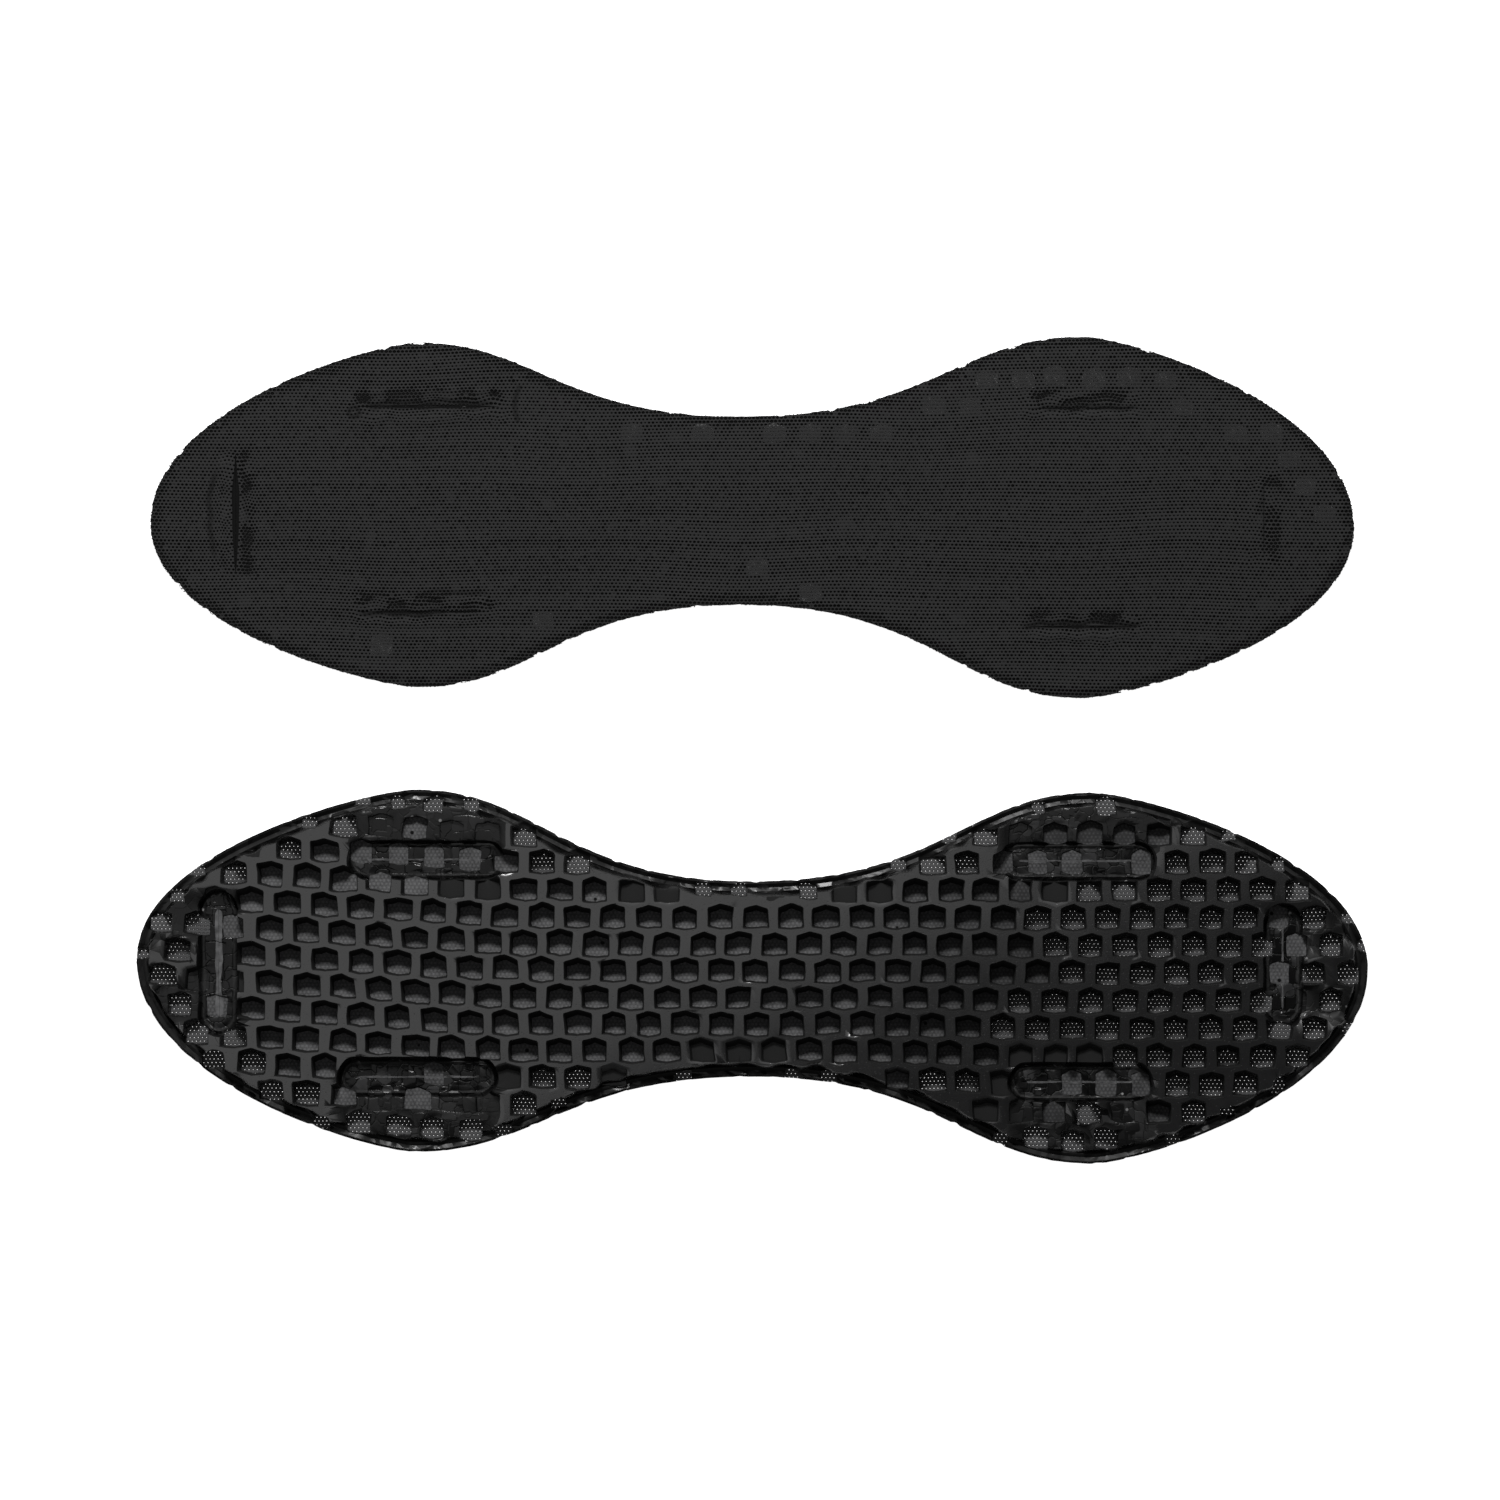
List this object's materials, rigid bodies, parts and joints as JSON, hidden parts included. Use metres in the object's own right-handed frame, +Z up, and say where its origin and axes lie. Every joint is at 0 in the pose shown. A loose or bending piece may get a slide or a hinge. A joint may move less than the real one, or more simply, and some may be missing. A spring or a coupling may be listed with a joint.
{
  "type": "honeycomb gel shoe cushion pads",
  "caption": "Pair of flat hourglass shoe cushion pads: a knitted mesh cover bonded to a soft honeycomb gel layer with pressed rim and cut slits.",
  "frame": {"origin": "on the surface the pads lie on, under the middle of the box round both pads", "axes": "+X along the pads, +Y from pad B (honeycomb up) to pad A (cover up), +Z up"},
  "size_m": [0.2802, 0.188, 0.0053],
  "materials": {
    "knit": "matte black knitted polyester mesh",
    "gel": "soft black gel, satin on the honeycomb walls and glossy where pressed"
  },
  "bodies": {
    "pad_b": {"pad_b_knit_cover": "knit", "pad_b_gel_honeycomb": "gel"},
    "pad_a": {"pad_a_gel_honeycomb": "gel", "pad_a_knit_cover": "knit"}
  },
  "joints": [
    {"name": "pad_a_lift", "type": "slide", "parent": "pad_b", "child": "pad_a", "axis": [0, 0, 1], "range_m": [0, 0.06]}
  ]
}
